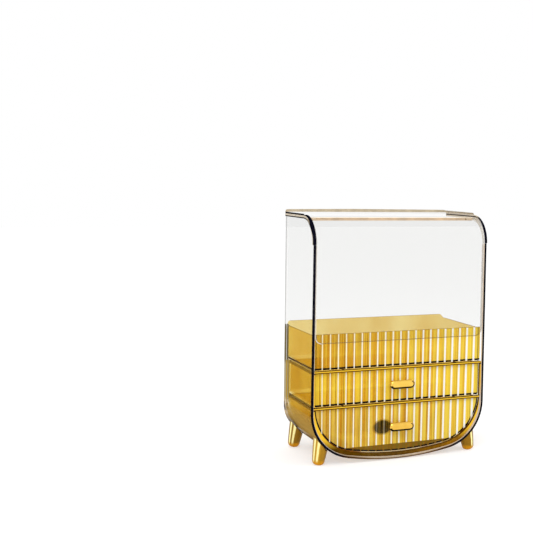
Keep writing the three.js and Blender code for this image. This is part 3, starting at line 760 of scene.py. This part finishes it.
def flute_colour(tree, across, plain, bands, fine, painted_dark_band):
    """The bars' colour and solid share: orange bands and bright strips painted in for refraction, painted
    brown shade lines, and a colour that darkens towards the left.
    """
    orange = mixed(tree, across, ORANGE_LEFT, ORANGE_RIGHT)
    colour = mixed(tree, times(tree, bands, span(tree, across, 0.9, 0.75)), plain, orange)
    colour = mixed(tree, times(tree, fine, span(tree, across, 0.45, 0.8)), colour, BRIGHT_BODY)
    colour = mixed(tree, times(tree, painted_dark_band, span(tree, fine, 0.95, 0.35)), colour, AMBER_LINE)
    share = calc(tree, "ADD", span(tree, bands, 0.62, 0.5), times(tree, across, 0.2))
    return colour, either(tree, share, times(tree, painted_dark_band, 0.75))


def painted_handle_shadow(tree, x, z, fine, colour, share, light):
    """Paints the handle's shadow: a dark round patch left of the lower handle, with the highlights dimmed in
    it.
    """
    from_side = calc(tree, "DIVIDE", minus(tree, x, HANDLE_SHADOW_CENTRE[0]), HANDLE_SHADOW_REACH[0])
    from_level = calc(tree, "DIVIDE", minus(tree, z, HANDLE_SHADOW_CENTRE[1]), HANDLE_SHADOW_REACH[1])
    handle_shadow = under(tree, hypotenuse(tree, from_side, from_level), 0.85, 0.14)
    handle_shadow = times(tree, handle_shadow, span(tree, fine, 1.0, 0.9))
    light = times(tree, light, span(tree, handle_shadow, 1.0, 0.1))
    return mixed(tree, handle_shadow, colour, SHADE_BROWN), either(tree, share, handle_shadow), light


def painted_wedge_shade(tree, z, fine, colour, share, light):
    """Paints shade into the wedge under a level line at the bottom of the front, and takes the highlights out
    of it.
    """
    low = under(tree, z, WEDGE_TOP, 0.5 * MM)
    colour = mixed(tree, times(tree, low, 0.95), colour, mixed(tree, fine, WEDGE_SHADE, AMBER_LINE))
    share = either(tree, share, times(tree, low, 0.88))
    return colour, share, times(tree, light, opposite(tree, low))


def front_gap_shade(tree, x, z, outline, bottom, side_line):
    """Painted gap shade round a front: along its round outline, or along its level bottom and its sides."""
    depth = outline_depth(tree, x, z, *outline)
    if bottom is None:
        return under(tree, depth, FRONT_GAP)
    sides = between(tree, depth, side_line, side_line + 1.2 * MM)
    return either(tree, under(tree, minus(tree, z, bottom), LEVEL_GAP), times(tree, sides, 0.8))


# Metal

def metal_finish(tree, shader, colour, roughness):
    shader.inputs["Metallic"].default_value = 1
    feed(tree, shader.inputs["Base Color"], colour)
    feed(tree, shader.inputs["Roughness"], roughness)


def gold(name, pale, deep, rough):
    material, tree, shader = new_material(name)
    where = place(tree)
    plating = patches(tree, cloud(tree, where, 60))
    scratches = cloud(tree, where, 900, 0.08)
    colour = mixed(tree, plating, deep, pale)
    metal_finish(tree, shader, colour, worn(tree, scratches, rough * 0.8, rough * 1.2))
    return material


def polished_gold():
    """Gold plating on the round feet, with painted reflections: bright and brown upright bands, painted shade
    on the right and the back, and a darker orange tip.
    """
    material, tree, shader = new_material("polished_gold")
    where = place(tree)
    x, y, z = parts(tree, where)
    right = over(tree, x, 0.0)
    tip = under(tree, z, FOOT_TIP, 2 * MM)
    scratches = cloud(tree, where, 900, 0.08)
    foot_highlight, painted_dark_band = foot_reflections(tree, right)
    # painted shade on the right and back halves, a darker orange tip, and the painted highlights above the
    # tip
    shaded = either(tree, painted_dark_band, times(tree, either(tree, right, rise(tree, y, -10 * MM, 10 * MM)), 0.92))
    colour = mixed(tree, shaded, mixed(tree, scratches, GOLD_PALE, GOLD_DEEP), GOLD_SHADED)
    colour = mixed(tree, times(tree, tip, 0.8), colour, GOLD_TIP)
    colour = mixed(tree, times(tree, foot_highlight, opposite(tree, tip)), colour, GOLD_HIGHLIGHT)
    metal_finish(tree, shader, colour, worn(tree, scratches, 0.2, 0.32))
    return material


def foot_reflections(tree, right):
    """The painted bright highlight bands and brown reflection bands round a foot, mirrored on the right."""
    across, along = facing(tree)[:2]
    turn = calc(tree, "DIVIDE", calc(tree, "ARCTAN2", across, along), math.pi)
    half = calc(tree, "FRACT", minus(tree, WHOLE_TURNS - FOOT_TURN, turn))
    half = span(tree, right, half, opposite(tree, half))
    wide = times(tree, ramp(tree, half, FOOT_WIDE_HIGHLIGHT), opposite(tree, right))
    return either(tree, ramp(tree, half, FOOT_THIN_HIGHLIGHT), wide), ramp(tree, half, FOOT_DARK_REFLECTION)


def steel():
    material, tree, shader = new_material("steel")
    turning = cloud(tree, place(tree), 300)
    metal_finish(tree, shader, mixed(tree, turning, STEEL_DARK, STEEL_PALE), worn(tree, turning, 0.25, 0.4))
    return material


# Making a piece from its node

def loose_copy(cad_node):
    """A node's own form as a clean mesh, with its flat faces whole again."""
    shape = bmesh.new()
    shape.from_mesh(nodes[cad_node].data)
    bmesh.ops.remove_doubles(shape, verts=shape.verts, dist=WELD)
    bmesh.ops.dissolve_limit(shape, angle_limit=FLAT_ANGLE, verts=shape.verts, edges=shape.edges)
    for face in shape.faces:
        face.smooth = True
        face.material_index = 0
    return shape


def finished(shape, cad_node, body, materials, rounding, angle=PLAIN_ANGLE):
    """Rounds the edges, smooths the shading and puts the piece in its node's place."""
    name = cad_node + "_dressed"
    mesh = bpy.data.meshes.new(name)
    shape.to_mesh(mesh)
    shape.free()
    for material in materials:
        mesh.materials.append(material)
    piece = bpy.data.objects.new(name, mesh)
    bpy.context.collection.objects.link(piece)
    edge = piece.modifiers.new("rounded_edges", "BEVEL")
    edge.width = rounding
    edge.segments = 2
    edge.limit_method = "ANGLE"
    edge.angle_limit = angle
    edge.use_clamp_overlap = True
    even = piece.modifiers.new("even_shading", "WEIGHTED_NORMAL")
    even.keep_sharp = True
    even.weight = 80
    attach(piece, body)
    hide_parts(cad_node)


def faces_where(shape, test):
    return [face for face in shape.faces if test(face.calc_center_median(), face.normal)]


def paint(faces, index):
    for face in faces:
        face.material_index = index


def paint_where(shape, index, test):
    paint(faces_where(shape, test), index)


def cut_at(shape, along, distance):
    """Cuts the whole shape's faces along a plane across an axis."""
    everything = shape.verts[:] + shape.edges[:] + shape.faces[:]
    bmesh.ops.bisect_plane(shape, geom=everything, dist=WELD, plane_co=along * distance, plane_no=along)


def cut_across_y(shape, distance):
    cut_at(shape, Vector((0, 1, 0)), distance)


def cut_across_z(shape, height):
    cut_at(shape, Vector((0, 0, 1)), height)


def level_sheets(shape):
    """The large level faces: floors and shelves."""
    level = faces_where(shape, lambda middle, normal: abs(normal.z) > 0.95)
    return [face for face in level if face.calc_area() > SHEET_AREA]


# Clear pieces

def case_shell(clear, rim, dark, pale, bend):
    rim_slot, dark_slot, pale_slot, bend_slot = 1, 2, 3, 4
    shape = loose_copy("case_shell")
    cut_across_y(shape, RIM_STRIP)
    paint_where(shape, rim_slot, lambda middle, normal: normal.y < -0.9 and middle.y < RIM_Y + 1 * MM)
    # painted lines behind the rim: a pale highlight on the inner faces and a dark reflection line outside
    paint_where(shape, pale_slot, lambda middle, normal: abs(normal.y) < 0.5 and middle.y < RIM_STRIP)
    paint_where(shape, dark_slot, dark_strip)
    paint_where(shape, bend_slot, round_corner)
    cut_across_y(shape, BEND_START - STRIP_NARROW)
    cut_across_y(shape, BEND_START - STRIP_WIDE)
    cut_across_z(shape, STRIP_STEP)
    cut_across_z(shape, STRIP_TOP)
    paint_where(shape, bend_slot, beside_bend)
    materials = [clear, rim, dark, pale, bend]
    finished(shape, "case_shell", "case", materials, SHELL_ROUNDING)


def dark_strip(middle, normal):
    """True for an outer face just behind the shell's front rim, above the bottom, where the painted dark
    reflection line goes.
    """
    outwards = normal.x * middle.x + normal.z * (middle.z - CORNER_RADIUS) > 0
    behind_rim = abs(normal.y) < 0.5 and middle.y < RIM_STRIP
    return behind_rim and outwards and middle.z > RIM_DARK_FROM


def round_corner(middle, normal):
    """True for a face of the shell that turns from the sides to the back or to the underside."""
    upright = normal.x * middle.x > 0 and abs(normal.x) > 0.12 and normal.y > 0.12
    low = abs(normal.x) > 0.12 and abs(normal.z) > 0.12 and middle.z < LEAN_START
    return middle.y > RIM_STRIP and (upright or low)


def beside_bend(middle, normal):
    """True in the strip of the left side, ahead of its back corner, painted with a reflection of the amber
    inside.
    """
    reach = STRIP_WIDE if middle.z < STRIP_STEP else STRIP_NARROW
    in_strip = BEND_START - reach < middle.y < BEND_START + 4 * MM and middle.z < STRIP_TOP
    return in_strip and abs(normal.x) > 0.9 and middle.x < 0


def top_cover(clear, skirt, pale):
    skirt_slot, pale_slot = 1, 2
    shape = loose_copy("top_cover")
    back = cad_high.y - 16 * MM
    sheet_low = cad_high.z - ROOF_THICKNESS - 0.8 * MM
    rim_low = cad_high.z - 4.4 * MM
    cut_across_z(shape, sheet_low)
    # the skirt and arms carry the painted beige band and dark reflection lines; the crown's back and right
    # edge carry the painted pale crown line
    paint_where(shape, skirt_slot, lambda middle, normal: abs(middle.x) > ARM_SIDE and middle.z < sheet_low)
    cut_across_z(shape, rim_low)
    back_faces = faces_where(shape, lambda middle, normal: middle.y > back and middle.z > rim_low)
    paint([face for face in back_faces if face.normal.y > 0.15], pale_slot)
    right_faces = faces_where(shape, lambda middle, normal: middle.x > ARM_SIDE and middle.z > sheet_low)
    paint([face for face in right_faces if face.normal.x > 0.3], pale_slot)
    finished(shape, "top_cover", "case", [clear, skirt, pale], COVER_ROUNDING)


def front_door(clear, pale, line, side, white):
    top_slot, outline_slot, end_slot, left_slot = 1, 2, 3, 4
    shape = loose_copy("front_door")
    low, high = DOOR_FLAT
    # painted lines on the door: a pale beige reflection along its top edge, a sand-coloured reflection on its
    # side faces, a faint brown line round its flat front and a white highlight along that line's left part
    paint_where(shape, top_slot, lambda middle, normal: middle.z > DOOR_EDGE_Z and middle.y > DOOR_EDGE_Y)
    paint_where(shape, end_slot, lambda middle, normal: abs(normal.x) > 0.9)
    flat = faces_where(shape, lambda middle, normal: abs(normal.y) > 0.99 and low < middle.z < high)
    ring = bmesh.ops.inset_individual(shape, faces=flat, thickness=0.8 * MM, use_even_offset=True)["faces"]
    highest = max(face.calc_center_median().z for face in ring)
    outline = [face for face in ring if face.calc_center_median().z < highest - 1 * MM]
    paint(outline, outline_slot)
    paint([face for face in outline if face.calc_center_median().x < DOOR_LEFT], left_slot)
    materials = [clear, pale, line, side, white]
    finished(shape, "front_door", "door", materials, SHELL_ROUNDING)


def add_clear_pieces():
    clear = clear_plastic("clear_plastic", CLEAR_TINT, 0.03, 0.87)
    cover = clear_plastic("clear_cover", COVER_TINT, 0.0, 0.96)
    # painted lines along the clear plastic's edges: a dark reflection, pale, beige and sand reflections, a
    # faint brown line and white highlights
    dark = clear_line("clear_dark_line", RIM_DARK, 0.95)
    pale = clear_line("clear_pale_line", DOOR_BEIGE, 0.95)
    faint = clear_line("clear_faint_line", BEIGE_DEEP, 0.45)
    sand = clear_line("clear_sand_line", SAND, 0.6)
    white = clear_line("clear_white_line", WHITE_LINE, 0.7)
    crown = clear_line("clear_crown_line", CROWN_BEIGE, 1.0)
    case_shell(clear, clear_rim(), dark, pale, clear_bend())
    top_cover(cover, cover_skirt(), crown)
    front_door(clear, pale, faint, sand, white)


# Amber pieces

def cabinet_frame(amber, front, shadow, floor):
    front_slot, bay_slot, sheet_slot = 1, 2, 3
    shape = loose_copy("cabinet_frame")
    cut_across_y(shape, FRAME_STRIP)
    paint(level_sheets(shape), sheet_slot)
    paint_where(shape, bay_slot, inside_bay)
    paint_where(shape, front_slot, lambda middle, normal: normal.y < -0.9 and middle.y < RIM_Y + 3 * MM)
    materials = [amber, front, shadow, floor]
    finished(shape, "cabinet_frame", "case", materials, AMBER_ROUNDING, AMBER_ANGLE)


def inside_bay(middle, normal):
    """True for a face near the frame's front that looks into one of its two bays."""
    looks_in = normal.x * middle.x < 0 or normal.z > 0.3
    return middle.y < FRAME_STRIP and looks_in and abs(normal.y) < 0.5


def fluted(cad_node, body, amber, edge, floor, flutes):
    edge_slot, flute_slot, sheet_slot = 1, 2, 3
    shape = loose_copy(cad_node)
    front = RIM_Y + FLUTE_FRONT
    top = max(vertex.co.z for vertex in shape.verts) - 6 * MM
    paint(level_sheets(shape), sheet_slot)
    paint_where(shape, edge_slot, lambda middle, normal: normal.z > 0.9 and middle.z > top)
    paint_where(shape, flute_slot, lambda middle, normal: normal.y < -0.6 and middle.y < front)
    materials = [amber, edge, flutes, floor]
    finished(shape, cad_node, body, materials, AMBER_ROUNDING, AMBER_ANGLE)


def add_amber_pieces():
    amber = amber_plastic()
    edge = amber_grain("amber_edge", BROWN_LINE, SIDE_BROWN, 0.95, 0.3)
    shadow = amber_grain("gap_shadow", GAP_SHADE_DARK, AMBER_LINE, 0.97)
    floor = amber_floor()
    outline = (DRAWER_INSET, 0, CORNER_RADIUS)
    low_outline = (DRAWER_INSET, LOWER_DRAWER_INSET, CORNER_RADIUS)
    tray = fluted_front("tray_front", outline, TRAY_LEFT, BRIGHT_BODY, TRAY_FRONT_BOTTOM, TRAY_SIDE_LINE)
    upper = fluted_front("upper_drawer_front", outline, YELLOW_BODY, YELLOW_BODY, UPPER_FRONT_BOTTOM)
    lower = fluted_front("lower_drawer_front", low_outline, MILKY_BODY, BRIGHT_BODY, shaded=True)
    cabinet_frame(amber_frame(), amber_front_edge(), shadow, floor)
    fluted("upper_tray", "case", amber, edge, floor, tray)
    fluted("upper_drawer", "upper_drawer_unit", amber, shadow, floor, upper)
    fluted("lower_drawer", "lower_drawer_unit", amber, shadow, floor, lower)


# Metal pieces

def handle(cad_node, body, plate, shade):
    shade_slot = 1
    shape = loose_copy(cad_node)
    # painted shade on the faces below the handle
    paint_where(shape, shade_slot, lambda middle, normal: normal.y > -0.95 and normal.z < -0.2)
    front = min(shape.faces, key=lambda face: face.calc_center_median().y)
    centre = front.calc_center_median()
    ring = bmesh.ops.inset_individual(shape, faces=[front], thickness=1.4 * MM, use_even_offset=True)["faces"]
    # painted shade on the lower and right parts of the ring round the front face
    for face in ring:
        lie = face.calc_center_median() - centre
        if lie.z < -1 * MM or lie.x > HANDLE_SHADE_X:
            face.material_index = shade_slot
    finished(shape, cad_node, body, [plate, shade], HANDLE_ROUNDING)


def add_metal_pieces():
    plate = gold("gold_plate", PLATE_PALE, PLATE_DEEP, 0.2)
    shade = gold("gold_painted_shade", GOLD_DARK, GOLD_BLACK, 0.3)
    feet_gold = polished_gold()
    metal = steel()
    handle("upper_handle", "upper_drawer_unit", plate, shade)
    handle("lower_handle", "lower_drawer_unit", plate, shade)
    for corner in ("front_left", "front_right", "back_left", "back_right"):
        foot = "foot_" + corner
        finished(loose_copy(foot), foot, "case", [feet_gold], FOOT_ROUNDING)
    for part, item in nodes.items():
        if "screw" in part or "pin" in part:
            item.data.materials.clear()
            item.data.materials.append(metal)


# Studio

def background_share(tree):
    """1 for the rays that show the background: seen straight, through glass or in a mirror."""
    paths = node(tree, "ShaderNodeLightPath")
    return either(tree, paths.outputs["Is Camera Ray"], paths.outputs["Is Transmission Ray"],
                  paths.outputs["Is Glossy Ray"])


def add_floor():
    bpy.ops.mesh.primitive_plane_add(size=FLOOR_SIZE, location=(0, 0, 0))
    floor = bpy.context.object
    floor.name = "studio_floor"
    material, tree, shader = new_material("studio_floor")
    shader.inputs["Base Color"].default_value = (*FLOOR_GREY, 1)
    shader.inputs["Roughness"].default_value = 0.8
    shader.inputs["Emission Color"].default_value = (1, 1, 1, 1)
    feed(tree, shader.inputs["Emission Strength"], times(tree, background_share(tree), FLOOR_GLOW))
    floor.data.materials.append(material)


def add_world():
    world = bpy.data.worlds.new("studio")
    bpy.context.scene.world = world
    world.use_nodes = True
    tree = world.node_tree
    background = tree.nodes["Background"]
    background.inputs["Color"].default_value = (1, 1, 1, 1)
    feed(tree, background.inputs["Strength"], span(tree, background_share(tree), WORLD_LIGHT, 1.0))


def add_light(name, spot, size, power):
    data = bpy.data.lights.new(name, "AREA")
    data.shape = "RECTANGLE"
    data.size, data.size_y = size
    data.energy = power
    lamp = bpy.data.objects.new(name, data)
    bpy.context.collection.objects.link(lamp)
    lamp.location = spot
    aim = LIGHT_AIM - Vector(spot)
    lamp.rotation_euler = aim.to_track_quat("-Z", "Y").to_euler()


def add_studio():
    add_world()
    add_floor()
    add_light("key", (-1.2, -1.4, 1.8), (1.2, 1.2), 18)
    add_light("fill", (1.6, -1.0, 0.9), (0.3, 1.7), 9)
    bpy.context.scene.view_settings.view_transform = "Standard"
    bpy.context.scene.cycles.transparent_max_bounces = CLEAR_LAYERS


add_camera()
add_clear_pieces()
add_amber_pieces()
add_metal_pieces()
add_studio()
